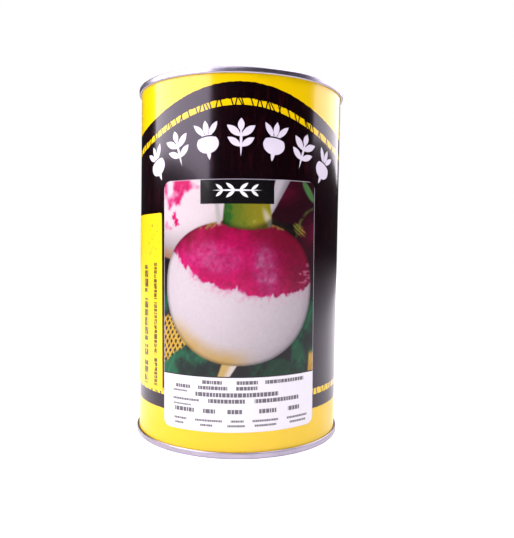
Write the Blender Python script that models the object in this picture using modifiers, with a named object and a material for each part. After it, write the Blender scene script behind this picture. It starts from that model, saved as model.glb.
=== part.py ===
"""Sealed tin seed can, 404 x 700: a rolled and welded tube, two stamped ends held by double seams,
their sealing rings, two stickers round the front and the loose seed inside.

Metres, +Z up. The origin is the centre of the bottom rim, and the front of the can faces -Y.
"""
import math

import bmesh
import bpy

MM = 0.001

# Driving sizes of a 404 x 700 can: 4 4/16 inch over the seam by 7 inch tall.
CAN_HEIGHT = 177.8 * MM
SEAM_RADIUS = 53.975 * MM
BODY_RADIUS = 52.66 * MM
PLATE = 0.24 * MM
GAP = 0.06 * MM

# Double seam, as heights below the rim of either end.
SEAM_HEIGHT = 2.9 * MM
RIM_ROUND = 0.42 * MM
FLANGE_ROUND = 0.25 * MM
RING_HEIGHT = 0.85 * MM
COUNTERSINK = 3.4 * MM
COUNTERSINK_DIP = 0.5 * MM
HOOK_ROUND = 0.25 * MM
RIM_FACET = 0.3 * RIM_ROUND

# Stamped end panel: from the chuck wall in to the centre.
COUNTERSINK_RADIUS = 50.6 * MM
COUNTERSINK_HALF_WIDTH = 0.9 * MM
PANEL_EDGE = 1.3 * MM
OUTER_BEAD_RADIUS = 44.0 * MM
INNER_BEAD_RADIUS = 35.0 * MM
BEAD_WIDTH = 3.2 * MM
BEAD_FLAT = 1.28 * MM
BEAD_RISE = 0.7 * MM
PANEL_RISE = 1.1 * MM

# Stickers wrapped on the front, as arc lengths from the front line and heights.
STICKER_THICKNESS = 0.12 * MM
STICKER_LIFT = 0.03 * MM
PICTURE_ARC = (-38.7 * MM, 39.5 * MM)
PICTURE_Z = (12.1 * MM, 128.0 * MM)
PICTURE_TILT = math.radians(0.8)
DATE_ARC = (-76.5 * MM, -40.3 * MM)
DATE_Z = (27.0 * MM, 112.5 * MM)
DATE_TILT = math.radians(1.2)
PICTURE_CORNER = 4.0 * MM
DATE_CORNER = 0.4 * MM
CORNER_STEPS = 4
CUTTER_DEPTH = 40.0 * MM
SLEEVE_SPARE = 4.0 * MM

# Loose seed: one pound at about 0.7 kg a litre.
SEED_MASS = 0.4536
SEED_DENSITY = 700.0
SEED_GAP = 0.3 * MM
SEED_STEP = 2.4 * MM
SEED_CROWN = 3.0 * MM
SEED_CROWN_RINGS = 3

STEPS = 60
SHARP_ANGLE = 35.0


def clear_scene():
    for old in list(bpy.data.objects):
        bpy.data.objects.remove(old, do_unlink=True)


def make_material(name, colour, roughness, metallic):
    material = bpy.data.materials.new(name)
    material.use_nodes = True
    shader = material.node_tree.nodes["Principled BSDF"]
    shader.inputs["Base Color"].default_value = (*colour, 1.0)
    shader.inputs["Roughness"].default_value = roughness
    shader.inputs["Metallic"].default_value = metallic
    return material


def add_object(name, mesh, material, home):
    piece = bpy.data.objects.new(name, mesh)
    mesh.materials.append(material)
    home.objects.link(piece)
    return piece


def turned(name, profile, material, home, closed=True):
    """A profile of (radius, height) points carried once round the Z axis by a Screw modifier."""
    mesh = bpy.data.meshes.new(name)
    points = [(radius, 0.0, height) for radius, height in profile]
    edges = [(i, i + 1) for i in range(len(points) - 1)]
    if closed:
        edges.append((len(points) - 1, 0))
    on_axis = [i for i, (radius, _) in enumerate(profile) if radius == 0.0]
    edges = [edge for edge in edges if not set(edge) <= set(on_axis)]
    mesh.from_pydata(points, edges, [])
    piece = add_object(name, mesh, material, home)
    screw = piece.modifiers.new("Turn", "SCREW")
    screw.axis = "Z"
    screw.angle = math.tau
    screw.steps = STEPS
    screw.render_steps = STEPS
    screw.use_merge_vertices = True
    screw.merge_threshold = 1e-6
    return piece


def offset_left(path, distance):
    """The path moved sideways to the left of its run, with mitred corners."""
    moved = []
    for i, (x, y) in enumerate(path):
        ways = []
        for a, b in ((i - 1, i), (i, i + 1)):
            if 0 <= a and b < len(path):
                dx, dy = path[b][0] - path[a][0], path[b][1] - path[a][1]
                length = math.hypot(dx, dy)
                ways.append((-dy / length, dx / length))
        nx, ny = sum(w[0] for w in ways), sum(w[1] for w in ways)
        size = math.hypot(nx, ny)
        nx, ny = nx / size, ny / size
        stretch = distance / (nx * ways[0][0] + ny * ways[0][1])
        moved.append((x + nx * stretch, y + ny * stretch))
    return moved


def sheet_profile(path, thickness):
    """A closed outline of sheet metal: the path, and the path again one thickness to its left."""
    return path + offset_left(path, thickness)[::-1]


def end_path():
    """Outer face of a stamped end, from the seam's inner hook out and over the rim and in to the centre.

    Heights are counted from the rim towards the can's middle, as negative numbers.
    """
    wall = SEAM_RADIUS
    hook = BODY_RADIUS + GAP
    chuck = BODY_RADIUS - PLATE - GAP - PLATE
    tip = 2 * PLATE + 4 * GAP
    path = [
        (hook, -tip),
        (hook, -SEAM_HEIGHT + HOOK_ROUND),
        (hook + HOOK_ROUND, -SEAM_HEIGHT),
        (wall - RIM_ROUND, -SEAM_HEIGHT),
        (wall, -SEAM_HEIGHT + RIM_ROUND),
        (wall, -RIM_ROUND),
        (wall - RIM_FACET, -RIM_FACET),
        (wall - RIM_ROUND, 0.0),
        (chuck + RIM_ROUND, 0.0),
        (chuck, -RIM_ROUND),
        (COUNTERSINK_RADIUS + COUNTERSINK_HALF_WIDTH, -COUNTERSINK),
        (COUNTERSINK_RADIUS, -COUNTERSINK - COUNTERSINK_DIP),
        (COUNTERSINK_RADIUS - COUNTERSINK_HALF_WIDTH, -COUNTERSINK),
    ]
    panel = -COUNTERSINK + PANEL_RISE
    path.append((COUNTERSINK_RADIUS - PANEL_EDGE, panel))
    for radius in (OUTER_BEAD_RADIUS, INNER_BEAD_RADIUS):
        path += [
            (radius + BEAD_WIDTH / 2, panel),
            (radius + BEAD_FLAT / 2, panel + BEAD_RISE),
            (radius - BEAD_FLAT / 2, panel + BEAD_RISE),
            (radius - BEAD_WIDTH / 2, panel),
        ]
    path.append((0.0, panel))
    return path


def end_profile(rim, inwards):
    """A stamped end's closed outline, with its rim at a height and its panel up (1) or down (-1) from it."""
    outline = sheet_profile(end_path(), PLATE)
    return clockwise([(radius, rim - inwards * height) for radius, height in outline])


def clockwise(outline):
    """The outline listed so that its outer side runs down, which makes a turned shape face outwards."""
    area = sum(
        a[0] * b[1] - b[0] * a[1] for a, b in zip(outline, outline[1:] + outline[:1])
    )
    return outline[::-1] if area > 0 else outline


def body_profile():
    """The tube's outline: its wall, and the flange at each end hooked outwards and back for the seam.

    The path runs up the hook's outer face, in over the flange and down the wall's inner face.
    """
    top = PLATE + GAP
    tip = SEAM_HEIGHT - PLATE - 2 * GAP
    hook = BODY_RADIUS + 2 * GAP + 2 * PLATE
    wall = BODY_RADIUS - PLATE
    flange = [
        (hook, tip),
        (hook, top + FLANGE_ROUND),
        (hook - FLANGE_ROUND, top),
        (wall + FLANGE_ROUND, top),
        (wall, top + FLANGE_ROUND),
    ]
    upper = [(radius, CAN_HEIGHT - depth) for radius, depth in flange]
    return clockwise(sheet_profile(upper + flange[::-1], PLATE))


def ring_profile(rim, inwards):
    """A sealing ring: the compound squeezed between the body's hook and the seam's outer wall."""
    inner = BODY_RADIUS + 2 * GAP + 2 * PLATE + GAP
    outer = SEAM_RADIUS - PLATE - GAP
    top = RIM_ROUND + PLATE
    corners = [(inner, top), (outer, top), (outer, top + RING_HEIGHT), (inner, top + RING_HEIGHT)]
    return clockwise([(radius, rim + inwards * height) for radius, height in corners])


def seed_profile():
    """The loose seed: its foot follows the bottom end's panel and its top is a low heap.

    The crown is a paraboloid, which holds half the volume of the cylinder round it.
    """
    wall = BODY_RADIUS - PLATE - SEED_GAP
    panel = COUNTERSINK - PANEL_RISE + PLATE + SEED_GAP
    ledge = COUNTERSINK + COUNTERSINK_DIP + PLATE + SEED_GAP
    step = COUNTERSINK_RADIUS - SEED_STEP
    volume = SEED_MASS / SEED_DENSITY
    foot = math.pi * step**2 * (ledge - panel)
    rise = (volume - foot) / (math.pi * wall**2) - 0.5 * SEED_CROWN
    shoulder = ledge + rise
    crown = [
        (wall * i / SEED_CROWN_RINGS, shoulder + SEED_CROWN * (1 - (i / SEED_CROWN_RINGS) ** 2))
        for i in range(SEED_CROWN_RINGS + 1)
    ]
    return crown + [(wall, ledge), (step, ledge), (step, panel), (0.0, panel)]


def rounded_cutter(name, width, height, corner, home):
    """A box through the can's wall with its four long edges rounded, kept as a cutter."""
    mesh = bpy.data.meshes.new(name)
    shape = bmesh.new()
    bmesh.ops.create_cube(shape, size=1.0)
    bmesh.ops.scale(shape, vec=(width, CUTTER_DEPTH, height), verts=shape.verts)
    through = [
        edge for edge in shape.edges
        if abs(edge.verts[0].co.y - edge.verts[1].co.y) > 0.5 * CUTTER_DEPTH
    ]
    bmesh.ops.bevel(
        shape, geom=through, offset=corner, segments=CORNER_STEPS, profile=0.5, affect="EDGES"
    )
    shape.to_mesh(mesh)
    shape.free()
    cutter = bpy.data.objects.new(name, mesh)
    cutter.hide_render = True
    cutter.display_type = "WIRE"
    home.objects.link(cutter)
    return cutter


def sticker(name, arc, heights, tilt, corner, material, home, cutters):
    """A paper sticker: a thin sleeve round the can, kept only where a rounded box meets it.

    The box stands on the sticker's middle line, turned to face it and tilted as the sticker was applied.
    """
    inner = BODY_RADIUS + STICKER_LIFT
    outer = inner + STICKER_THICKNESS
    low, high = heights[0] - SLEEVE_SPARE, heights[1] + SLEEVE_SPARE
    sleeve = turned(name, [(outer, high), (outer, low), (inner, low), (inner, high)], material, home)
    turn = 0.5 * (arc[0] + arc[1]) / BODY_RADIUS
    chord = 2 * BODY_RADIUS * math.sin(0.5 * (arc[1] - arc[0]) / BODY_RADIUS)
    cutter = rounded_cutter(name + "_cutter", chord, heights[1] - heights[0], corner, cutters)
    cutter.location = (
        BODY_RADIUS * math.sin(turn), -BODY_RADIUS * math.cos(turn), 0.5 * (heights[0] + heights[1])
    )
    cutter.rotation_euler = (0.0, -tilt, turn)
    keep = sleeve.modifiers.new("Outline", "BOOLEAN")
    keep.operation = "INTERSECT"
    keep.solver = "EXACT"
    keep.object = cutter
    return sleeve


def main():
    clear_scene()
    home = bpy.data.collections.new("seed_can")
    cutters = bpy.data.collections.new("cutters")
    for collection in (home, cutters):
        bpy.context.scene.collection.children.link(collection)

    printed = make_material("printed_tinplate", (0.93, 0.78, 0.03), 0.25, 0.0)
    bare = make_material("bare_tinplate", (0.62, 0.62, 0.64), 0.3, 1.0)
    compound = make_material("sealing_compound", (0.55, 0.5, 0.42), 0.6, 0.0)
    picture = make_material("picture_paper", (0.75, 0.3, 0.42), 0.3, 0.0)
    date = make_material("date_paper", (0.95, 0.85, 0.2), 0.4, 0.0)
    seed = make_material("seed", (0.25, 0.13, 0.08), 0.6, 0.0)

    turned("can_body", body_profile(), printed, home)
    for side, rim, inwards in (("bottom", 0.0, 1), ("top", CAN_HEIGHT, -1)):
        turned(side + "_end", end_profile(rim, inwards), bare, home)
        turned(side + "_seam_compound", ring_profile(rim, inwards), compound, home)
    sticker(
        "picture_label", PICTURE_ARC, PICTURE_Z, PICTURE_TILT, PICTURE_CORNER, picture, home, cutters
    )
    sticker("date_label", DATE_ARC, DATE_Z, DATE_TILT, DATE_CORNER, date, home, cutters)
    turned("seed_fill", seed_profile(), seed, home, closed=False)

    for piece in home.objects:
        piece.data.shade_smooth()
        piece.data.set_sharp_from_angle(angle=math.radians(SHARP_ANGLE))


main()
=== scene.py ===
# %% [markdown]
# # A printed tin seed can
#
# The real object is a tall sealed can. A sheet of tinplate is printed flat, rolled into a tube and welded
# down the back. A stamped disc closes each end, and its edge is rolled together with the tube's edge into
# a double seam. A glossy picture sticker and a yellow date sticker are stuck on the front.
#
# The measured solids arrive as a fixed frame. Each step below makes one piece's fine surface, or one
# finish, so that it fits that frame.

import math

import bmesh
import bpy
import numpy as np
from mathutils import Matrix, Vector
from mathutils.kdtree import KDTree


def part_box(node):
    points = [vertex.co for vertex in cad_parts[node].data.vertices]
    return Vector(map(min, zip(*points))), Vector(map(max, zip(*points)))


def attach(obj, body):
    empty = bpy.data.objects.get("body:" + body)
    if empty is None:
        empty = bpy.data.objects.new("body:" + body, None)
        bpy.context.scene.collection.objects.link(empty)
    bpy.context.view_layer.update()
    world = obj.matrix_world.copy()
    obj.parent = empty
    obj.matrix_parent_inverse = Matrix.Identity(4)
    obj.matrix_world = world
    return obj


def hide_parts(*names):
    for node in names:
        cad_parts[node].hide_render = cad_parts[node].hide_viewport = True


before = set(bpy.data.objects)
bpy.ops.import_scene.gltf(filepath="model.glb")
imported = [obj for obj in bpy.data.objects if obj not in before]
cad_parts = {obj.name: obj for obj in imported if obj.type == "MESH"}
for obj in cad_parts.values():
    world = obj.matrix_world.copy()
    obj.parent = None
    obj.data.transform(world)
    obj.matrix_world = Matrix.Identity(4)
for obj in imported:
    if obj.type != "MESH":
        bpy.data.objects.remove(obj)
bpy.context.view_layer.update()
print("solids:", sorted(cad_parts))

# %% [markdown]
# The frame gives the can's height and the radius of its seams. The other sizes are those of the same can:
# the tube's wall, the plate's thickness and how the stickers lie. Everything is in metres, but the print
# is easier to read in millimetres, as a distance round the tube (the arc) and a height.

# %% Driving sizes
MM = 0.001
CAN_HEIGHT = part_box("top_end")[1].z
SEAM_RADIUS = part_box("top_end")[1].x
BODY_RADIUS = 52.66 * MM
PLATE = 0.24 * MM
GAP = 0.06 * MM
SEAM_HEIGHT = 2.9 * MM
HALF_ROUND = math.pi * BODY_RADIUS / MM
print(f"can {CAN_HEIGHT / MM:.1f} mm tall, {2 * SEAM_RADIUS / MM:.2f} mm over the seams")

# %% [markdown]
# The camera comes first, because it decides how much detail each surface needs. It stands a little above
# the middle of the can and looks slightly down, close enough that the rims show as clear curves.

# %% Camera
CAMERA_PLACE = (0.0, -311.1 * MM, 98.4 * MM)
CAMERA_LENS = 38.16
CAMERA_YAW, CAMERA_PITCH, CAMERA_ROLL = (math.radians(a) for a in (1.793, 2.432, 0.93))


def add_camera():
    """A camera turned by yaw about the vertical, tipped down by pitch, then rolled about its own axis."""
    data = bpy.data.cameras.new("camera")
    data.lens = CAMERA_LENS
    data.clip_start = 0.01
    camera = bpy.data.objects.new("camera", data)
    turn = Matrix.Rotation(-CAMERA_YAW, 4, "Z") @ Matrix.Rotation(math.pi / 2 - CAMERA_PITCH, 4, "X")
    camera.matrix_world = Matrix.Translation(CAMERA_PLACE) @ turn @ Matrix.Rotation(CAMERA_ROLL, 4, "Z")
    bpy.context.collection.objects.link(camera)
    bpy.context.scene.camera = camera


add_camera()
print("camera set")

# %% [markdown]
# Every shape here is a grid of points worked out at once with numpy. One helper turns such a grid into a
# mesh. A grid can close on itself in either direction, as a tube does round its axis. Points that share a
# place, such as the middle of a disc, are merged afterwards, so that no seam or pole stays open.

# %% From a grid to a mesh
def grid_object(name, points, close_rows=False, close_columns=False):
    """A mesh from points[row, column]: each cell of four neighbours is one face."""
    rows, columns = points.shape[:2]
    index = np.arange(rows * columns).reshape(rows, columns)
    if close_rows:
        index = np.vstack([index, index[:1]])
    if close_columns:
        index = np.hstack([index, index[:, :1]])
    cells = np.stack([index[:-1, :-1], index[:-1, 1:], index[1:, 1:], index[1:, :-1]], axis=-1)
    mesh = bpy.data.meshes.new(name)
    mesh.from_pydata(points.reshape(-1, 3), [], cells.reshape(-1, 4))
    mesh.validate()
    mesh.shade_smooth()
    piece = bpy.data.objects.new(name, mesh)
    bpy.context.collection.objects.link(piece)
    return piece


def weld_points(piece, distance=1e-7):
    """Merges points that share a place, which closes poles and drops faces of no size."""
    shape = bmesh.new()
    shape.from_mesh(piece.data)
    bmesh.ops.remove_doubles(shape, verts=shape.verts, dist=distance)
    shape.to_mesh(piece.data)
    shape.free()


def face_outwards(piece):
    """Turns the faces over if the closed mesh holds a negative volume, the sum of a . (b x c) / 6."""
    mesh = piece.data
    mesh.calc_loop_triangles()
    points = np.empty(len(mesh.vertices) * 3)
    mesh.vertices.foreach_get("co", points)
    corners = np.empty(len(mesh.loop_triangles) * 3, dtype=np.int32)
    mesh.loop_triangles.foreach_get("vertices", corners)
    a, b, c = points.reshape(-1, 3)[corners.reshape(-1, 3).T]
    if np.sum(a * np.cross(b, c)) < 0:
        mesh.flip_normals()


def settle(piece, node, material, sharp=40.0):
    """The piece stands for a solid of the frame, rides with it and takes its finish."""
    face_outwards(piece)
    piece.data.materials.append(material)
    piece.data.set_sharp_from_angle(angle=math.radians(sharp))
    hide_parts(node)
    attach(piece, "root")
    print(f"{piece.name}: {len(piece.data.polygons)} faces")


print("helpers ready")

# %% [markdown]
# Turned parts are a profile carried round the axis. Sheet metal has the same thickness all along its
# profile, so the second face is the first one moved sideways. Bends in a pressed sheet are round. Cutting
# each corner of the profile a few times over, a quarter from each end of every side, rounds the bends
# without moving the flats.

# %% Profiles of pressed sheet
def rounded(path, times=3):
    """Corner cutting: each side keeps its middle half, and the ends of the path stay where they are."""
    path = np.asarray(path, float)
    for _ in range(times):
        near = 0.75 * path[:-1] + 0.25 * path[1:]
        far = 0.25 * path[:-1] + 0.75 * path[1:]
        inner = np.stack([near, far], axis=1).reshape(-1, 2)
        path = np.vstack([path[:1], inner, path[-1:]])
    return path


def sheet_outline(path, thickness):
    """A closed outline: the path, and back along the path moved one thickness to its left."""
    run = np.gradient(path, axis=0)
    run /= np.linalg.norm(run, axis=1, keepdims=True)
    left = np.stack([-run[:, 1], run[:, 0]], axis=1)
    return np.vstack([path, (path + thickness * left)[::-1]])


def turned_points(outline, angles):
    """points[profile, angle] of a profile of (radius, height) carried round the Z axis."""
    radius, height = outline[:, :1], outline[:, 1:]
    return np.stack(
        [radius * np.cos(angles), radius * np.sin(angles), height + 0 * angles], axis=-1
    )


def even_angles(steps):
    return np.arange(steps) * math.tau / steps


print("profiles ready")

# %% [markdown]
# Random-looking detail has to be the same on every run. Here it is value noise: a seeded lattice of
# random numbers read with a smooth blend, then layered at halving sizes, as hills carry stones and stones
# carry grit.

# %% Noise for numpy surfaces
def value_noise(x, y, size, seed):
    """Smooth values from 0 to 1 that change over about one size, from a random lattice blended smoothly."""
    cells = 64
    lattice = np.random.default_rng(seed).random((cells, cells))
    u, v = x / size, y / size
    i, j = np.floor(u).astype(int), np.floor(v).astype(int)
    s, t = u - i, v - j
    s, t = s * s * (3 - 2 * s), t * t * (3 - 2 * t)
    low = lattice[i % cells, j % cells] * (1 - s) + lattice[(i + 1) % cells, j % cells] * s
    high = lattice[i % cells, (j + 1) % cells] * (1 - s) + lattice[(i + 1) % cells, (j + 1) % cells] * s
    return low * (1 - t) + high * t


def layered_noise(x, y, size, seed, layers=4):
    """Value noise at halving sizes and halving strengths, brought to the range -1 to 1."""
    total = sum(value_noise(x, y, size / 2**k, seed + k) / 2**k for k in range(layers))
    return 2 * total / (2 - 0.5 ** (layers - 1)) - 1


print("noise ready")

# %% [markdown]
# Materials are node trees. A tree soon has dozens of nodes, so a small helper adds a node, sets it and
# joins it in one call. Wherever an input is asked for, it takes a number, a colour or another node's
# output.

# %% A short way to wire nodes
class Wiring:
    """Adds nodes to one tree and joins them."""

    def __init__(self, tree):
        self.tree = tree

    def node(self, kind, **settings):
        made = self.tree.nodes.new(kind)
        for name, value in settings.items():
            setattr(made, name, value)
        return made

    def feed(self, socket, value):
        if isinstance(value, bpy.types.NodeSocket):
            self.tree.links.new(value, socket)
        else:
            socket.default_value = value

    def fill(self, made, **values):
        """Feeds sockets by name, with _ for a space, and returns the node's first output."""
        for name, value in values.items():
            self.feed(made.inputs[name.replace("_", " ")], value)
        return made.outputs[0]

    def add(self, *values):
        """The sum of two values."""
        return self.math("ADD", *values)

    def less(self, *values):
        """The first value less the second."""
        return self.math("SUBTRACT", *values)

    def times(self, *values):
        """The product of two values."""
        return self.math("MULTIPLY", *values)

    def math(self, operation, *values, clamp=False):
        made = self.node("ShaderNodeMath", operation=operation, use_clamp=clamp)
        for socket, value in zip(made.inputs, values):
            self.feed(socket, value)
        return made.outputs[0]

    def step(self, value, start, end, low=0.0, high=1.0):
        """A smooth step: low up to start, high past end."""
        made = self.node("ShaderNodeMapRange", interpolation_type="SMOOTHSTEP")
        for socket, item in zip(made.inputs, (value, start, end, low, high)):
            self.feed(socket, item)
        return made.outputs[0]

    def mix(self, amount, first, second, kind="MIX"):
        """One colour over another."""
        made = self.node("ShaderNodeMix", data_type="RGBA", blend_type=kind)
        for number, item in ((0, amount), (6, first), (7, second)):
            self.feed(made.inputs[number], item)
        return made.outputs[2]

    def point(self, x, y, z=0.0):
        made = self.node("ShaderNodeCombineXYZ")
        return self.fill(made, X=x, Y=y, Z=z)

    def grey(self, value):
        """A colour whose three parts are the same value."""
        return self.fill(self.node("ShaderNodeCombineColor"), Red=value, Green=value, Blue=value)

    def split(self, vector):
        made = self.node("ShaderNodeSeparateXYZ")
        self.feed(made.inputs[0], vector)
        return made.outputs

    def noise(self, vector, scale, detail=2.0, roughness=0.5):
        made = self.node("ShaderNodeTexNoise")
        return self.fill(made, Vector=vector, Scale=scale, Detail=detail, Roughness=roughness)

    def stretch(self, vector, scale):
        made = self.node("ShaderNodeMapping")
        return self.fill(made, Vector=vector, Scale=scale)

    def place(self, group, **values):
        """Places a shader node group and feeds its inputs. Returns its outputs."""
        made = self.node("ShaderNodeGroup", node_tree=group)
        self.fill(made, **values)
        return made.outputs


def new_group(name, inputs, outputs):
    """An empty shader node group: names and defaults of its inputs, names and kinds of its outputs."""
    tree = bpy.data.node_groups.new(name, "ShaderNodeTree")
    for title, default in inputs.items():
        kind = "NodeSocketVector" if isinstance(default, tuple) else "NodeSocketFloat"
        tree.interface.new_socket(name=title, in_out="INPUT", socket_type=kind).default_value = default
    for title, kind in outputs.items():
        tree.interface.new_socket(name=title, in_out="OUTPUT", socket_type=kind)
    wire = Wiring(tree)
    return tree, wire, wire.node("NodeGroupInput").outputs, wire.node("NodeGroupOutput").inputs


def new_material(name, **fixed):
    """A material with a Principled shader whose unvarying values are set on its own sockets."""
    material = bpy.data.materials.new(name)
    material.use_nodes = True
    shader = material.node_tree.nodes["Principled BSDF"]
    for title, value in fixed.items():
        shader.inputs[title.replace("_", " ")].default_value = value
    return material, Wiring(material.node_tree), shader.inputs


def add_bump(wire, shader, strength, depth, height, **settings):
    """Tilts the shader's normal by a height, of which one unit stands as high as the depth."""
    bump = wire.node("ShaderNodeBump", **settings)
    wire.fill(bump, Strength=strength, Distance=depth, Height=height)
    wire.feed(shader["Normal"], bump.outputs["Normal"])


def ink(red, green, blue):
    """A screen colour from 0 to 255, as the linear colour that a shader takes."""
    part = np.array((red, green, blue)) / 255
    part = np.where(part <= 0.04045, part / 12.92, ((part + 0.055) / 1.055) ** 2.4)
    return (*map(float, part), 1.0)


print("wiring ready")

# %% [markdown]
# Five effects are used by more than one finish, so each is a node group. The first unrolls the can: it
# turns a place in space into a flat place on the print, as millimetres round from the front and
# millimetres up.

# %% Group: unrolled can
def make_unrolled():
    """The arc is the angle from the front, which faces -Y, times the tube's radius."""
    tree, wire, given, put = new_group(
        "Unrolled can", {"Vector": (0.0, 0.0, 0.0)},
        {"Arc": "NodeSocketFloat", "Height": "NodeSocketFloat", "Flat": "NodeSocketVector"},
    )
    x, y, z = wire.split(given["Vector"])
    angle = wire.math("ARCTAN2", x, wire.times(y, -1.0))
    arc = wire.times(angle, BODY_RADIUS / MM)
    height = wire.math("DIVIDE", z, MM)
    wire.feed(put["Arc"], arc)
    wire.feed(put["Height"], height)
    wire.feed(put["Flat"], wire.point(arc, height))
    return tree


UNROLLED = make_unrolled()
print(UNROLLED.name)

# %% [markdown]
# The second draws one leaf or round shape. In the shape's own turned axes, a point lies inside where the
# power of its sideways place plus the square of its lengthways place is below one. A power of 1 gives a
# pointed leaf and a power of 2 an oval.

# %% Group: leaf shape
def make_leaf():
    """Inside is positive within the shape, in millimetres, and falls below zero outside it."""
    tree, wire, given, put = new_group(
        "Leaf shape",
        {"X": 0.0, "Y": 0.0, "Centre X": 0.0, "Centre Y": 0.0, "Turn": 0.0,
         "Half Width": 1.0, "Half Length": 2.0, "Roundness": 1.0},
        {"Inside": "NodeSocketFloat"},
    )
    dx = wire.less(given["X"], given["Centre X"])
    dy = wire.less(given["Y"], given["Centre Y"])
    cosine, sine = wire.math("COSINE", given["Turn"]), wire.math("SINE", given["Turn"])
    side = wire.add(wire.times(dx, cosine), wire.times(dy, sine))
    along = wire.less(wire.times(dy, cosine), wire.times(dx, sine))
    side = wire.math("ABSOLUTE", wire.math("DIVIDE", side, given["Half Width"]))
    along = wire.math("DIVIDE", along, given["Half Length"])
    side = wire.math("POWER", side, given["Roundness"])
    reach = wire.add(side, wire.times(along, along))
    wire.feed(put["Inside"], wire.times(wire.less(1.0, reach), given["Half Width"]))
    return tree


LEAF = make_leaf()
print(LEAF.name)

# %% [markdown]
# The third draws a bar of print. Rows of bars stand where a real label has rows of small type, so the bar
# breaks into short dashes of uneven length, as words do.

# %% Group: printed bar
def make_bar():
    """Cover is 1 inside a box round a centre, less thin gaps where stretched noise runs low."""
    tree, wire, given, put = new_group(
        "Printed bar",
        {"Along": 0.0, "Across": 0.0, "Middle Along": 0.0, "Middle Across": 0.0,
         "Half Length": 5.0, "Half Width": 0.5},
        {"Cover": "NodeSocketFloat"},
    )
    edge = 0.12
    along = wire.math("ABSOLUTE", wire.less(given["Along"], given["Middle Along"]))
    across = wire.math("ABSOLUTE", wire.less(given["Across"], given["Middle Across"]))
    ends = wire.step(wire.less(given["Half Length"], along), -edge, edge)
    sides = wire.step(wire.less(given["Half Width"], across), -edge, edge)
    pitch = wire.math("DIVIDE", given["Along"], wire.times(given["Half Width"], 1.7))
    row = wire.times(given["Middle Across"], 7.3)
    gaps = wire.node("ShaderNodeTexVoronoi", voronoi_dimensions="1D", feature="DISTANCE_TO_EDGE")
    wire.fill(gaps, W=wire.add(pitch, row), Scale=1.0)
    dash = wire.step(gaps.outputs["Distance"], 0.06, 0.12, 0.15, 1.0)
    wire.feed(put["Cover"], wire.times(wire.times(ends, sides), dash))
    return tree


BAR = make_bar()
print(BAR.name)

# %% [markdown]
# The fourth is how ink lies on its ground: never quite even, with soft clouds where the roller carried
# more and a fine tooth from the printing screen. It darkens or lightens a colour by a few parts in a
# hundred.

# %% Group: ink lay
def make_ink_lay():
    """Shade is one plus clouds and screen tooth, each with its own strength. A colour is multiplied by it."""
    tree, wire, given, put = new_group(
        "Ink lay", {"Vector": (0.0, 0.0, 0.0), "Clouds": 0.06, "Tooth": 0.05},
        {"Shade": "NodeSocketFloat"},
    )
    clouds = wire.less(wire.noise(given["Vector"], 60.0, 3.0), 0.5)
    tooth = wire.less(wire.noise(given["Vector"], 2600.0, 1.0), 0.5)
    both = wire.add(wire.times(clouds, given["Clouds"]), wire.times(tooth, given["Tooth"])
    )
    wire.feed(put["Shade"], wire.add(both, 1.0))
    return tree


INK_LAY = make_ink_lay()
print(INK_LAY.name)

# %% [markdown]
# The fifth is handling. A can that has been packed and stacked has fine hairline rubs in the gloss, more
# along the rims than between them, and faint smears. The group gives the rubs as a mask, a roughness to
# add, and a height for a bump.

# %% Group: handling
def make_handling():
    """Rubs are the crests of stretched noise, kept only where a broad noise says the can was touched."""
    tree, wire, given, put = new_group(
        "Handling", {"Vector": (0.0, 0.0, 0.0), "Amount": 0.5},
        {"Rubs": "NodeSocketFloat", "Dulling": "NodeSocketFloat", "Height": "NodeSocketFloat"},
    )
    across = wire.noise(wire.stretch(given["Vector"], (140.0, 140.0, 2600.0)), 1.0, 2.0)
    upright = wire.noise(wire.stretch(given["Vector"], (2400.0, 2400.0, 90.0)), 1.0, 2.0)
    crest = wire.math("MAXIMUM", across, upright)
    touched = wire.step(wire.noise(given["Vector"], 38.0, 2.0), 0.48, 0.68)
    rubs = wire.times(wire.step(crest, 0.69, 0.76), touched)
    rubs = wire.times(rubs, given["Amount"])
    smear = wire.step(wire.noise(wire.stretch(given["Vector"], (30.0, 30.0, 12.0)), 1.0, 3.0), 0.45, 0.7)
    dulling = wire.add(wire.times(smear, 0.04), wire.times(rubs, 0.25))
    wire.feed(put["Rubs"], rubs)
    wire.feed(put["Dulling"], dulling)
    wire.feed(put["Height"], wire.times(rubs, -1.0))
    return tree


HANDLING = make_handling()
print(HANDLING.name)

# %% [markdown]
# The tube is rolled from one sheet. Its two edges lap by about a millimetre at the back and are welded
# with a roller, which leaves a low flat ridge. Near each seam the wall flares out a little, where the
# rollers pulled it. The wall also isn't a perfect cylinder: it wavers by a few hundredths of a
# millimetre, which shows only in how reflections bend. The grid has extra columns at the weld, because
# that ridge is so narrow.

# %% Tube
WELD_HALF_WIDTH = 0.6
WELD_RISE = 0.16 * MM
WELD_SLOPE = 0.09
WELD_COLUMNS = 33
CLOSE_REACH, EVEN_START = 1.6 * MM, 2.2 * MM
WALL_COLUMNS, WALL_ROWS = 300, 72
WALL_WAVER = 0.02 * MM
FLARE = 0.16 * MM
FLARE_REACH = 1.1 * MM


def tube_angles():
    """Even columns, with close ones at the weld, which faces +Y."""
    near = math.pi / 2 + np.linspace(-1, 1, WELD_COLUMNS) * CLOSE_REACH / BODY_RADIUS
    far = even_angles(WALL_COLUMNS)
    far = far[np.abs(far - math.pi / 2) > EVEN_START / BODY_RADIUS]
    return np.sort(np.concatenate([near, far]))


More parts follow.
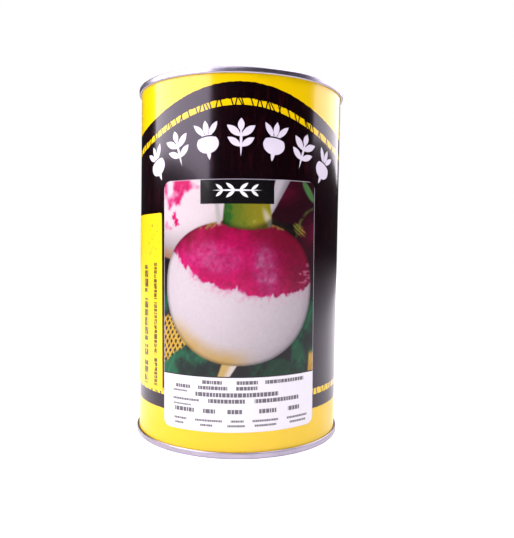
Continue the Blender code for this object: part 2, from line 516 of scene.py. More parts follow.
def tube_path():
    """The outer face from the top hook, over the flange and down the wall, to the same hook at the bottom."""
    hook, wall = BODY_RADIUS + 2 * GAP + 2 * PLATE, BODY_RADIUS - PLATE
    top = PLATE + GAP
    flange = rounded([(hook, SEAM_HEIGHT - PLATE - 2 * GAP), (hook, top), (wall, top), (wall, 4 * top)], 2)
    heights = np.linspace(5 * top, CAN_HEIGHT - 5 * top, WALL_ROWS)
    wall_points = np.stack([np.full(heights.shape, wall), heights], axis=1)
    other = flange[::-1] * (1, -1) + (0, CAN_HEIGHT)
    return np.vstack([flange, wall_points, other])[::-1]


def make_tube():
    angles = tube_angles()
    outline = sheet_outline(tube_path(), PLATE)
    points = turned_points(outline, angles)
    radius, height = outline[:, :1], outline[:, 1:]
    end = np.minimum(height, CAN_HEIGHT - height) - SEAM_HEIGHT
    flare = FLARE * np.exp(-(np.maximum(end, 0) / FLARE_REACH) ** 2) * (radius < BODY_RADIUS + GAP)
    span = np.sin(math.pi * height / CAN_HEIGHT)
    waver = WALL_WAVER * span * (np.sin(3 * angles + 1.3) + np.sin(5 * angles + 40 * height + 0.4))
    from_weld = np.abs(angles - math.pi / 2) * BODY_RADIUS / MM
    ridge = 0.5 * WELD_RISE * (1 - np.tanh(0.5 * (from_weld - WELD_HALF_WIDTH) / WELD_SLOPE))
    ridge = ridge * (radius > BODY_RADIUS - 0.5 * PLATE) * (end > 0)
    grown = (radius + flare + waver * (end > 0) + ridge) / radius
    points[..., 0] *= grown
    points[..., 1] *= grown
    return grid_object("tube", points, close_rows=True, close_columns=True)


tube = make_tube()
print("tube points:", len(tube.data.vertices))

# %% [markdown]
# The print on the tube is drawn by its material, from the unrolled place. A yellow ground carries a
# near-black field with a straight foot and a top that rises in a low bell over the front, and in another
# over the back. Inside its edge runs a yellow line, cut through by slanted nicks as in a woodcut. Every
# edge wavers a little, because this print copies a hand-cut block.

# %% Sizes of the print
FIELD_FOOT = 19.4
FIELD_SHOULDER = 153.0
FIELD_RISE = 18.4
BELL_HALF_WIDTH = 73.0
LINE_BELOW_EDGE = 8.9
LINE_FOOT = 27.6
LINE_HALF_WIDTH = 1.5
BARE_STRIP = 3.2

YELLOW = ink(234, 197, 0)
NEAR_BLACK = ink(9, 0, 2)
DARK_RED = ink(52, 8, 14)
PALE_INK = ink(222, 214, 228)

print(f"dark field: {FIELD_FOOT:.1f} to {FIELD_SHOULDER + FIELD_RISE:.1f} mm above the floor")

# %% [markdown]
# An arched garland of plain roots and leaf sprigs fills the head of the field. Its places are polar: an
# arch of one radius is cut into equal cells, and each cell's own sideways and upward place feeds the leaf
# shape. Mirror symmetry halves the work, because a leaf drawn at the distance from the middle line
# appears on both sides.

# %% Group: garland
ARCH_RADIUS = 108.0
ARCH_MIDDLE = 146.6
CELLS = 7
CELL = 15.6

# Each shape is its centre across and up, its turn, its half width, its half length and its roundness.
ROOT_SHAPES = (
    (0.0, -1.9, 0.0, 5.3, 4.3, 2.0),
    (0.0, -6.2, 0.0, 1.0, 3.0, 1.0),
    (0.0, 5.2, 0.0, 1.35, 3.6, 1.0),
    (3.1, 4.6, -0.62, 1.3, 3.9, 1.0),
)
SPRIG_SHAPES = (
    (0.0, 5.6, 0.0, 1.45, 3.0, 1.0),
    (3.1, 3.0, -0.85, 1.6, 4.0, 1.0),
    (3.0, -2.0, -0.95, 1.5, 3.8, 1.0),
    (0.0, -0.6, 0.0, 0.6, 8.0, 1.0),
)


def shapes_cover(wire, x, y, shapes, rough=0.0):
    """The greatest Inside of several shapes, as a cover with a crisp edge."""
    reach = None
    for centre_x, centre_y, turn, half_width, half_length, roundness in shapes:
        inside = wire.place(
            LEAF, X=x, Y=y, Centre_X=centre_x, Centre_Y=centre_y, Turn=turn,
            Half_Width=half_width, Half_Length=half_length, Roundness=roundness,
        )[0]
        reach = inside if reach is None else wire.math("MAXIMUM", reach, inside)
    return wire.step(wire.add(reach, rough), -0.04, 0.1)


def make_garland():
    """Cover is 1 on the roots and sprigs: a cell's number is even for a root and odd for a sprig."""
    tree, wire, given, put = new_group(
        "Garland", {"Arc": 0.0, "Height": 0.0, "Rough": 0.0}, {"Cover": "NodeSocketFloat"}
    )
    up = wire.less(given["Height"], ARCH_MIDDLE - ARCH_RADIUS)
    bearing = wire.math("ARCTAN2", given["Arc"], up)
    squares = wire.add(wire.math("POWER", given["Arc"], 2.0), wire.math("POWER", up, 2.0))
    out = wire.math("SQRT", squares)
    across = wire.less(out, ARCH_RADIUS)
    along = wire.add(wire.times(bearing, ARCH_RADIUS), 0.5 * CELLS * CELL)
    cell = wire.math("DIVIDE", along, CELL)
    number = wire.math("FLOOR", cell)
    local = wire.times(wire.less(wire.less(cell, number), 0.5), CELL)
    side = wire.math("ABSOLUTE", local)
    root = shapes_cover(wire, side, across, ROOT_SHAPES, given["Rough"])
    crown = wire.add(across, wire.times(wire.math("POWER", side, 2.0), 0.035))
    crown_cut = wire.step(wire.math("ABSOLUTE", wire.less(crown, 1.7)), 0.28, 0.42)
    root = wire.times(root, crown_cut)
    sprig = shapes_cover(wire, side, across, SPRIG_SHAPES, given["Rough"])
    odd = wire.math("MODULO", wire.math("ABSOLUTE", number), 2.0)
    sprig = wire.times(sprig, odd)
    root = wire.times(root, wire.less(1.0, odd))
    whole = CELLS * CELL
    within = wire.times(wire.step(along, -0.1, 0.1), wire.step(along, whole + 0.1, whole - 0.1))
    wire.feed(put["Cover"], wire.times(wire.math("MAXIMUM", root, sprig), within))
    return tree


GARLAND = make_garland()
print("garland cells:", CELLS)

# %% [markdown]
# The tin is printed flat before it is rolled, so its finish works in unrolled millimetres: arc length
# round the wall and height above the floor. Yellow covers everything but a bare strip at the weld, and
# the near-black field lies over it inside covers with slightly rough edges. Small slanted nicks break the
# yellow line that follows the field's edge. A thin clear varnish lies over both inks, so they share one
# gloss, which only handling dulls.

# %% Finish: printed tin
def field_edge(wire, arc):
    """Height of the field's top: a cosine bell round the front and round the back, flat between them."""
    away = wire.math("ABSOLUTE", arc)
    away = wire.math("MINIMUM", away, wire.less(HALF_ROUND, away))
    away = wire.math("MINIMUM", away, BELL_HALF_WIDTH)
    wave = wire.math("COSINE", wire.times(away, math.pi / BELL_HALF_WIDTH))
    return wire.add(wire.times(wave, 0.5 * FIELD_RISE), FIELD_SHOULDER + 0.5 * FIELD_RISE)


def nicks(wire, arc, height, slant, size, start):
    """Thin slanted gaps: the borders of uneven cells along a slanted run."""
    run = wire.add(arc, wire.times(height, slant))
    cells = wire.node("ShaderNodeTexVoronoi", voronoi_dimensions="1D", feature="DISTANCE_TO_EDGE")
    wire.fill(cells, W=wire.add(wire.math("DIVIDE", run, size), start), Scale=1.0)
    return wire.step(cells.outputs["Distance"], 0.22 / size, 0.42 / size)


def make_printed_tin():
    material, wire, shader = new_material(
        "printed tin", Coat_Roughness=0.03, IOR=1.5, Specular_Tint=(0.9, 0.8, 1.0, 1.0)
    )
    place = wire.node("ShaderNodeTexCoord").outputs["Object"]
    arc, height, flat = wire.place(UNROLLED, Vector=place)
    waver = wire.less(wire.noise(flat, 0.42, 3.0, 0.6), 0.5)
    rough = wire.times(waver, 0.9)
    edge = wire.add(field_edge(wire, arc), rough)
    foot = wire.add(wire.times(rough, 0.5), FIELD_FOOT)
    below_edge = wire.step(wire.less(edge, height), -0.12, 0.12)
    field = wire.times(below_edge, wire.step(wire.less(height, foot), -0.12, 0.12))
    upper = wire.math("ABSOLUTE", wire.less(wire.less(edge, LINE_BELOW_EDGE), height))
    drop = wire.less(height, LINE_FOOT - FIELD_FOOT)
    lower = wire.math("ABSOLUTE", wire.less(foot, drop))
    line = wire.less(LINE_HALF_WIDTH, wire.math("MINIMUM", upper, lower))
    line = wire.step(wire.add(line, wire.times(rough, 0.7)), -0.1, 0.15)
    for slant, size, start in ((0.32, 4.4, 3.3), (-0.22, 7.5, 7.1), (0.55, 16.0, 1.7)):
        line = wire.times(line, nicks(wire, arc, height, slant, size, start))

    shade = wire.place(INK_LAY, Vector=place, Clouds=0.10, Tooth=0.08)[0]
    grain = wire.noise(wire.stretch(flat, (1.5, 0.07, 1.0)), 1.0, 3.0, 0.6)
    black = wire.mix(wire.times(wire.step(grain, 0.52, 0.68), 0.6), NEAR_BLACK, DARK_RED)
    garland = wire.place(GARLAND, Arc=arc, Height=height, Rough=wire.times(rough, 0.35))[0]
    worn = wire.step(wire.noise(flat, 2.2, 3.0, 0.7), 0.24, 0.32)
    colour = wire.mix(field, YELLOW, black)
    colour = wire.mix(wire.times(line, wire.times(field, worn)), colour, YELLOW)
    colour = wire.mix(wire.times(garland, worn), colour, PALE_INK)
    colour = wire.mix(1.0, colour, wire.grey(shade), "MULTIPLY")

    strip = wire.less(wire.math("ABSOLUTE", arc), HALF_ROUND - BARE_STRIP)
    bare = wire.step(wire.add(strip, wire.times(rough, 0.4)), -0.1, 0.15)
    from_weld = wire.less(HALF_ROUND, wire.math("ABSOLUTE", arc))
    weld = wire.step(from_weld, WELD_HALF_WIDTH + 0.5, WELD_HALF_WIDTH - 0.1)
    beads = wire.step(wire.noise(wire.stretch(flat, (0.6, 1.9, 1.0)), 1.0, 1.0), 0.35, 0.65)
    tin = wire.mix(beads, ink(176, 176, 182), ink(206, 206, 210))
    tin = wire.mix(wire.times(weld, 0.75), tin, ink(96, 98, 108))
    wire.feed(shader["Base Color"], wire.mix(bare, colour, tin))

    _, dulling, height_of_rubs = wire.place(HANDLING, Vector=place, Amount=0.35)
    wire.feed(shader["Metallic"], wire.times(bare, 0.95))
    roughness = wire.add(dulling, 0.16)
    wire.feed(shader["Roughness"], wire.add(roughness, wire.times(bare, 0.14)))
    wire.feed(shader["Coat Weight"], wire.less(0.12, wire.times(bare, 0.1)))
    relief = wire.times(wire.noise(place, 700.0, 2.0), 0.6)
    relief = wire.add(relief, wire.times(height_of_rubs, 1.5))
    relief = wire.add(relief, wire.times(garland, 0.8))
    add_bump(wire, shader, 0.10, 0.02 * MM, relief)
    return material


settle(tube, "can_body", make_printed_tin(), sharp=60.0)

# %% [markdown]
# Both ends are the same stamping. Its profile starts at the hook inside the seam, runs out round the
# seam's foot, up the outer wall and over the rim, down the chuck wall to the countersink, and in over two
# raised rings that let the panel spring. The rim is where cans knock together, so its outline carries a
# faint waver.

# %% Ends
COUNTERSINK = 3.4 * MM
COUNTERSINK_DIP = 0.5 * MM
COUNTERSINK_RADIUS = 50.6 * MM
PANEL_DEPTH = 2.3 * MM
BEAD_RADII = (44.0 * MM, 35.0 * MM)
BEAD_WIDTH, BEAD_RISE = 3.2 * MM, 0.7 * MM
COUNTERSINK_HALF_WIDTH = 0.9 * MM
PANEL_RADIUS = COUNTERSINK_RADIUS - 3.6 * MM
PANEL_STEPS, END_COLUMNS = 70, 280
RIM_WAVER = 0.02 * MM


def end_path():
    """Points of (radius, height below the rim), with bends rounded by corner cutting."""
    wall, hook = SEAM_RADIUS, BODY_RADIUS + GAP
    chuck = BODY_RADIUS - 2 * PLATE - GAP
    seam = rounded([
        (hook, -2 * PLATE - 4 * GAP), (hook, -SEAM_HEIGHT), (wall - 0.10 * MM, -SEAM_HEIGHT),
        (wall, -0.55 * SEAM_HEIGHT), (wall - 0.03 * MM, 0.0), (chuck, 0.0), (chuck, -1.5 * MM),
    ])
    sink = rounded([
        (chuck - 0.02 * MM, -1.6 * MM),
        (COUNTERSINK_RADIUS + COUNTERSINK_HALF_WIDTH, -COUNTERSINK - COUNTERSINK_DIP),
        (COUNTERSINK_RADIUS - COUNTERSINK_HALF_WIDTH, -COUNTERSINK - COUNTERSINK_DIP),
        (COUNTERSINK_RADIUS - 1.4 * MM, -PANEL_DEPTH), (BEAD_RADII[0] + BEAD_WIDTH, -PANEL_DEPTH),
    ])
    inside = np.linspace(PANEL_RADIUS, 0, PANEL_STEPS)[1:]
    rise = sum(
        np.cos(np.clip((inside - ring) / BEAD_WIDTH, -0.5, 0.5) * math.pi) ** 2 for ring in BEAD_RADII
    )
    panel = np.stack([inside, -PANEL_DEPTH + BEAD_RISE * rise], axis=1)
    return np.vstack([seam, sink[sink[:, 0] > inside[0]], panel])


def make_end(name, upright):
    """The profile turned once round. Upright is 1 for the top end and -1 for the bottom one, its mirror."""
    angles = even_angles(END_COLUMNS)
    outline = sheet_outline(end_path(), PLATE)
    outline[:, 0] = np.maximum(outline[:, 0], 0.0)
    points = turned_points(outline, angles)
    outer = np.clip((outline[:, :1] - BODY_RADIUS) / (SEAM_RADIUS - BODY_RADIUS), 0, 1)
    waver = RIM_WAVER * outer * (np.sin(7 * angles + upright) + np.sin(16 * angles) - 2)
    grown = 1 + waver / SEAM_RADIUS
    points[..., 0] *= grown
    points[..., 1] *= grown
    points[..., 2] = points[..., 2] + CAN_HEIGHT if upright > 0 else -points[..., 2]
    end = grid_object(name, points, close_rows=True, close_columns=True)
    weld_points(end, 1e-6)
    return end


print(f"end profile: {len(end_path())} points")

# %% [markdown]
# The ends are bare tinplate under a thin lacquer. Rolled tin has a fine straight grain from the mill,
# which shows as streaks of brighter and duller metal all running one way, and the rims carry bright rubs
# where they have been pushed along shelves.

# %% Finish: bare tin
def make_bare_tin():
    material, wire, shader = new_material("bare tin", Metallic=1.0, Coat_Weight=0.3, Coat_Roughness=0.08)
    place = wire.node("ShaderNodeTexCoord").outputs["Object"]
    grain = wire.noise(wire.stretch(place, (35.0, 1900.0, 35.0)), 1.0, 3.0, 0.6)
    clouds = wire.noise(place, 55.0, 3.0)
    metal = wire.mix(grain, ink(160, 154, 172), ink(190, 184, 202))
    metal = wire.mix(wire.times(wire.step(clouds, 0.5, 0.8), 0.5), metal, ink(142, 136, 156))
    rubs, dulling, height_of_rubs = wire.place(HANDLING, Vector=place, Amount=0.9)
    wire.feed(shader["Base Color"], wire.mix(wire.times(rubs, 0.5), metal, ink(212, 208, 222)))
    rough = wire.add(wire.times(grain, 0.14), 0.24)
    wire.feed(shader["Roughness"], wire.add(rough, dulling))
    relief = wire.add(grain, height_of_rubs)
    add_bump(wire, shader, 0.15, 0.02 * MM, relief)
    return material


bare_tin = make_bare_tin()
settle(make_end("top_disc", 1), "top_end", bare_tin)
settle(make_end("bottom_disc", -1), "bottom_end", bare_tin)

# %% [markdown]
# The sealing compound is a rubbery paste that dries in the seam. Its two rings keep their solids, which
# are simple, and get a finish of their own: dull, creamy grey and slightly pitted.

# %% Finish: sealing compound
def make_compound():
    material, wire, shader = new_material("sealing compound", Specular_IOR_Level=0.3)
    place = wire.node("ShaderNodeTexCoord").outputs["Object"]
    pits = wire.noise(place, 1500.0, 3.0)
    shade = wire.place(INK_LAY, Vector=place, Clouds=0.15, Tooth=0.1)[0]
    colour = wire.mix(wire.step(pits, 0.45, 0.75), ink(196, 188, 170), ink(150, 142, 124))
    wire.feed(shader["Base Color"], colour)
    wire.feed(shader["Roughness"], wire.times(shade, 0.6))
    add_bump(wire, shader, 0.4, 0.05 * MM, pits)
    return material


compound = make_compound()
for ring in ("top_seam_compound", "bottom_seam_compound"):
    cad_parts[ring].material_slots[0].material = compound
print("sealing rings finished")

# %% [markdown]
# A sticker is a thin sheet of paper wrapped on the tube. Its grid is a rectangle whose rows get narrower
# near the top and the foot, which rounds the corners. The flat sheet is turned a little, as it was stuck
# on by hand, then wrapped: each point's arc becomes an angle. A few low ripples and lifted corners keep
# it from looking printed on.

# %% Wrapped stickers
PAPER = 0.12 * MM
PAPER_LIFT = 0.03 * MM
RIPPLE, RIPPLE_SIZE = 0.02 * MM, 17.0
CORNER_LIFT, CORNER_REACH = 0.10 * MM, 7.0


class Sticker:
    """Where one sticker lies: its middle, its half sizes and corner in millimetres, and its tilt."""

    def __init__(self, arc, heights, tilt, corner):
        self.middle = (0.5 * (arc[0] + arc[1]), 0.5 * (heights[0] + heights[1]))
        self.half = (0.5 * (arc[1] - arc[0]), 0.5 * (heights[1] - heights[0]))
        self.tilt = math.radians(tilt)
        self.corner = corner

    def grid(self, spacing):
        """Flat places x[row, column], y[row, column] from the sticker's middle, rows from foot to top."""
        half_width, half_height = self.half
        y = np.linspace(-half_height, half_height, int(2 * half_height / spacing))
        over = np.clip(np.abs(y) - (half_height - self.corner), 0, self.corner)
        width = half_width - self.corner + np.sqrt(self.corner**2 - over**2)
        x = np.linspace(-1, 1, int(2 * half_width / spacing)) * width[:, None]
        return x, np.repeat(y[:, None], x.shape[1], axis=1)

    def wrapped(self, x, y, radius):
        """The flat place turned by the tilt and wrapped on a cylinder of the given radius."""
        arc = self.middle[0] + x * math.cos(self.tilt) - y * math.sin(self.tilt)
        height = self.middle[1] + x * math.sin(self.tilt) + y * math.cos(self.tilt)
        angle = arc * MM / BODY_RADIUS
        return np.stack([radius * np.sin(angle), -radius * np.cos(angle), height * MM], axis=-1)

    def mesh(self, name, spacing):
        """The outer face, and the inner face one paper thickness under it, joined along the edge."""
        x, y = self.grid(spacing)
        edge = np.minimum(self.half[0] - np.abs(x), self.half[1] - np.abs(y))
        ripple = RIPPLE * layered_noise(x + 90, y + 90, RIPPLE_SIZE, 5, 2) * np.clip(edge / 6, 0, 1)
        to_corner = np.hypot(self.half[0] - np.abs(x), self.half[1] - np.abs(y))
        corner_lift = CORNER_LIFT * np.clip(1 - to_corner / CORNER_REACH, 0, 1) ** 2
        inner = BODY_RADIUS + PAPER_LIFT + np.maximum(ripple, 0) + corner_lift
        front = self.wrapped(x, y, inner + PAPER)
        back = self.wrapped(x, y, inner)
        piece = grid_object(name, np.concatenate([front, back[:, ::-1]], axis=1), close_columns=True)
        self.cap_ends(piece, x.shape)
        return piece

    @staticmethod
    def cap_ends(piece, shape):
        """Closes the foot and the top: each is a strip between the two faces' first or last rows."""
        rows, columns = shape
        form = bmesh.new()
        form.from_mesh(piece.data)
        form.verts.ensure_lookup_table()
        for row in (0, rows - 1):
            start = row * 2 * columns
            for i in range(columns - 1):
                ring = [start + i, start + i + 1, start + 2 * columns - 2 - i, start + 2 * columns - 1 - i]
                form.faces.new([form.verts[k] for k in ring])
        bmesh.ops.remove_doubles(form, verts=form.verts, dist=1e-7)
        bmesh.ops.recalc_face_normals(form, faces=form.faces)
        for face in form.faces:
            face.smooth = True
        form.to_mesh(piece.data)
        form.free()


PICTURE = Sticker((-38.7, 39.5), (12.1, 128.0), 0.8, 4.0)
DATE = Sticker((-76.5, -40.3), (27.0, 112.5), 1.2, 0.4)
print("picture sticker", [2 * h for h in PICTURE.half], "date sticker", [2 * h for h in DATE.half])

# %% [markdown]
# The sticker shows a picture of roots. It is painted here with numpy, the way a scene painter would:
# backdrop first, then each thing in front of it, in flat millimetres from the sticker's middle line and
# foot. A soft step makes every edge, and layered noise makes patches, streaks and soil. Colours are
# screen colours from 0 to 255.

# %% Painting tools
def ramp(value, start, end):
    """0 up to start, 1 past end, with a smooth S between them."""
    t = np.clip((value - start) / (end - start), 0, 1)
    return t * t * (3 - 2 * t)


def even_colour(x, colour):
    """The same colour at every place of x."""
    return np.zeros(x.shape + (3,)) + colour


def blend(under, over, cover):
    return under + (np.asarray(over, float) - under) * cover[..., None]


def oval(x, y, centre, half_width, half_height, turn=0.0):
    """Distance-like value: below 1 inside a turned oval and 1 on its edge."""
    c, s = np.cos(np.radians(turn)), np.sin(np.radians(turn))
    dx, dy = x - centre[0], y - centre[1]
    return np.hypot((dx * c + dy * s) / half_width, (-dx * s + dy * c) / half_height)


print("painting tools ready")

# %% [markdown]
# The backdrop is a crate in shadow: a yellow net bag, dark green leaves, then three more roots. They stay
# soft and dark so that the front root stands out.

# %% Painting: what lies behind
def paint_backdrop(x, y):
    """What lies behind the root: deep shadow, a yellow net bag low on the left, and green leaves low down."""
    rough = layered_noise(x, y, 9.0, 11)
    picture = even_colour(x, (13, 8, 12))
    picture = blend(picture, (34, 26, 16), ramp(rough, 0.1, 0.7))
    across = (x + 0.55 * y + 1.2 * rough) / 3.0
    down = (x - 0.75 * y + 1.2 * rough) / 2.6
    strand = np.minimum(np.abs(across % 1 - 0.5), np.abs(down % 1 - 0.5))
    net = ramp(0.30 - strand + 0.1 * rough, 0.02, 0.14)
    net_yellow = blend(even_colour(x, (224, 178, 56)), (150, 104, 30), ramp(rough, 0, 0.8))
    bag = ramp(-x - 21 + 0.25 * (60 - y) + 2 * rough, 0, 2) * ramp(54 + 0.3 * (x + 39) - y, 0, 3)
    picture = blend(picture, net_yellow, bag * net)
    bend = layered_noise(x, y, 14.0, 17)
    vein = np.abs((x * 0.8 - y * 0.6 + 5 * bend) / 7.0 % 1 - 0.5)
    green = blend(even_colour(x, (4, 100, 62)), (60, 142, 104), 0.5 * ramp(0.1 - vein, 0, 0.1))
    green = blend(green, (2, 20, 16), ramp(rough + 0.4 * bend, -0.1, 0.5))
    left_leaf = ramp(41.5 - y - 0.62 * np.abs(x + 24.0) + 2.5 * rough, 0, 1.5) * ramp(-8 - x, 0, 5)
    picture = blend(picture, green, left_leaf)
    under_leaf = ramp(35 - y - 0.2 * np.abs(x - 14) + 3 * bend, 0, 2) * ramp(x - 2, 0, 5)
    picture = blend(picture, green * 0.55, under_leaf)
    right_leaf = ramp(x - 23.0 - 0.012 * (y - 38) ** 2 + 4 * rough, 0, 3) * ramp(64 - y, 0, 8)
    picture = blend(picture, green * 0.8, right_leaf)
    edge_leaf = ramp(-35.6 - x + 0.06 * (y - 60) + rough, 0, 1) * ramp(66 - y, 0, 6)
    picture = blend(picture, (16, 84, 58), edge_leaf * ramp(y - 53, 0, 3))
    right_bag = ramp(x - 35.2 - 0.05 * (y - 30) + rough, 0, 1.2) * ramp(36.5 - y, 0, 3)
    return blend(picture, net_yellow, right_bag)


def paint_pale_root(x, y, picture):
    """A second root, pale with pink patches, behind on the upper left."""
    body = oval(x, y, (-27.0, 118.0), 40.0, 40.0)
    light = 1 - 0.30 * ramp(body, 0.5, 1.0)
    pale = np.array((234, 220, 224)) * light[..., None]
    pale = blend(pale, (168, 112, 72), 0.8 * ramp(body, 0.80, 1.0))
    patch = 0.9 * layered_noise(x, y * 0.8, 5.0, 23) - 0.85
    patch += 0.55 * ramp(-x - 16, 0, 20) + 0.65 * ramp(y - 101, 0, 12)
    streak = 1 - oval(x, y, (-31.5, 97.0), 3.0, 7.0, 14) + 0.9 * layered_noise(x, y, 2.2, 29, 3)
    patch += 0.9 * ramp(streak, 0.25, 0.8) - 0.5 * ramp(96 - y, 0, 8)
    pale = blend(pale, (226, 70, 140), 0.55 * ramp(patch, -0.12, 0.2))
    pale = blend(pale, (214, 22, 104), ramp(patch, 0.08, 0.4))
    return blend(picture, pale, ramp(1 - body, 0, 0.03))


def paint_dark_roots(x, y, picture):
    """Crimson roots in shadow on the upper right, with a leaf in the corner."""
    grain = layered_noise(x, y, 5.0, 31)
    ground = ramp(x - 12, 0, 6) * ramp(y - 74, 0, 8)
    picture = blend(picture, (44, 34, 16), ground * ramp(grain, -0.4, 0.6))
    for centre, wide, high in (((25.0, 107.5), 16.5, 12.0), ((41.0, 88.0), 13.5, 16.0)):
        body = oval(x, y, centre, wide, high)
        glow = ramp(1 - oval(x, y, (centre[0] - 4, centre[1] + 3), 0.8 * wide, 0.8 * high), 0, 1)
        strength = np.clip(glow * (0.8 + 0.5 * grain), 0, 1)
        skin = blend(even_colour(x, (58, 6, 26)), (138, 16, 62), strength)
        skin = blend(skin, (92, 60, 40), 0.7 * ramp(grain, 0.3, 0.8))
        picture = blend(picture, 0.72 * skin, ramp(1 - body, 0, 0.06))
    strand = np.abs((x * 0.8 + y + grain) / 1.9 % 1 - 0.5)
    soil = ramp(1 - oval(x, y, (29.5, 93.0), 5.5, 2.6, -38), 0, 0.4) * ramp(strand + 0.3 * grain, 0.15, 0.3)
    picture = blend(picture, (176, 158, 62), 0.85 * soil)
    edge = ramp(0.10 - np.abs(oval(x, y, (41.0, 88.0), 13.5, 16.0) - 1.0), 0, 0.08) * ramp(grain, -0.3, 0.3)
    picture = blend(picture, (92, 120, 52), 0.7 * edge * ramp(y - 80, 0, 6))
    corner = ramp(1 - oval(x, y, (35.0, 111.0), 7.0, 2.0, -52), 0, 0.25)
    return blend(picture, (84, 140, 78), 0.9 * corner)


def paint_stalks(x, y, picture):
    """The cut leaf stalks on the crown: a stub of green, and one pale stalk leaning out to the right."""
    lean = (x - 13.0) - 0.42 * (y - 98.0)
    width = 1.0 + 0.17 * (y - 98.0)
    stalk = ramp(width - np.abs(lean), 0, 0.7) * ramp(y - 96, 0, 1)
    picture = blend(picture, np.array((206, 200, 206)) - 55 * ramp(lean, -1, 3)[..., None], stalk)
    return blend(picture, np.array((206, 200, 206)) - 55 * ramp(lean, -1, 3)[..., None], stalk)


def paint_stub(x, y, picture):
    """The green stub on the crown: streaked, with a round foot, a dark left side and a pale right one."""
    streak = layered_noise(x * 1.5, y * 0.35, 5.0, 41)
    mottle = layered_noise(x, y, 2.2, 43, 3)
    green = blend(even_colour(x, (104, 124, 34)), (150, 142, 30), ramp(x + 3 * streak, -3.0, 9.0))
    green = blend(green, (24, 96, 40), 0.75 * ramp(streak + 0.5 * mottle - 0.06 * (x + 4), 0.0, 0.5))
    green = blend(green, (206, 200, 120), 0.55 * ramp(-streak - 0.3 * mottle, 0.15, 0.6))
    green = blend(green, (64, 62, 6), 0.8 * ramp(-x - 5.5 + mottle, 0, 3.5))
    green = blend(green, (210, 200, 176), 0.9 * ramp(1 - oval(x, y, (13.2, 97.5), 2.4, 8.0, 24), 0, 0.7))
    green = green * (1 - 0.45 * ramp(95.5 - y + 0.03 * (x - 3) ** 2, 0, 3))[..., None]
    foot = 92.6 + 0.014 * (x - 5.0) ** 2 + 0.8 * mottle
    half_width = 11.6 - 0.10 * (y - 96) + 0.7 * streak
    stub = ramp(half_width - np.abs(x - 3.6), 0, 0.8) * ramp(y - foot, 0, 0.9)
    picture = blend(picture, green, stub)
    rim = ramp(1.4 - np.abs(x + 9.4 + 0.1 * (y - 96)), 0, 0.9) * ramp(y - 94.2, 0, 2)
    return blend(picture, (196, 192, 186), rim)


print("backdrop painters ready")

# %% [markdown]
# The front root is a flat-topped oval. Its white flesh greys towards the right and warms at the foot. The
# purple top ends in a ragged border: a bowl-shaped height with noise added, so that the colour runs down
# in tongues.

# %% Painting: the front root
def purple_edge(x, y):
    """Height of the ragged border between the purple top and the white flesh: two halves of a bowl."""
    bowl = 62.0 + np.where(x < 8, 0.0122, 0.0068) * (x - 8.0) ** 2
    lobes = 3.2 * layered_noise(x, y * 0.4, 9.0, 53) + 2.6 * layered_noise(x, y * 0.45, 3.4, 59)
    return bowl + 0.8 + lobes + 1.3 * layered_noise(x, y * 0.8, 1.3, 57, 2)


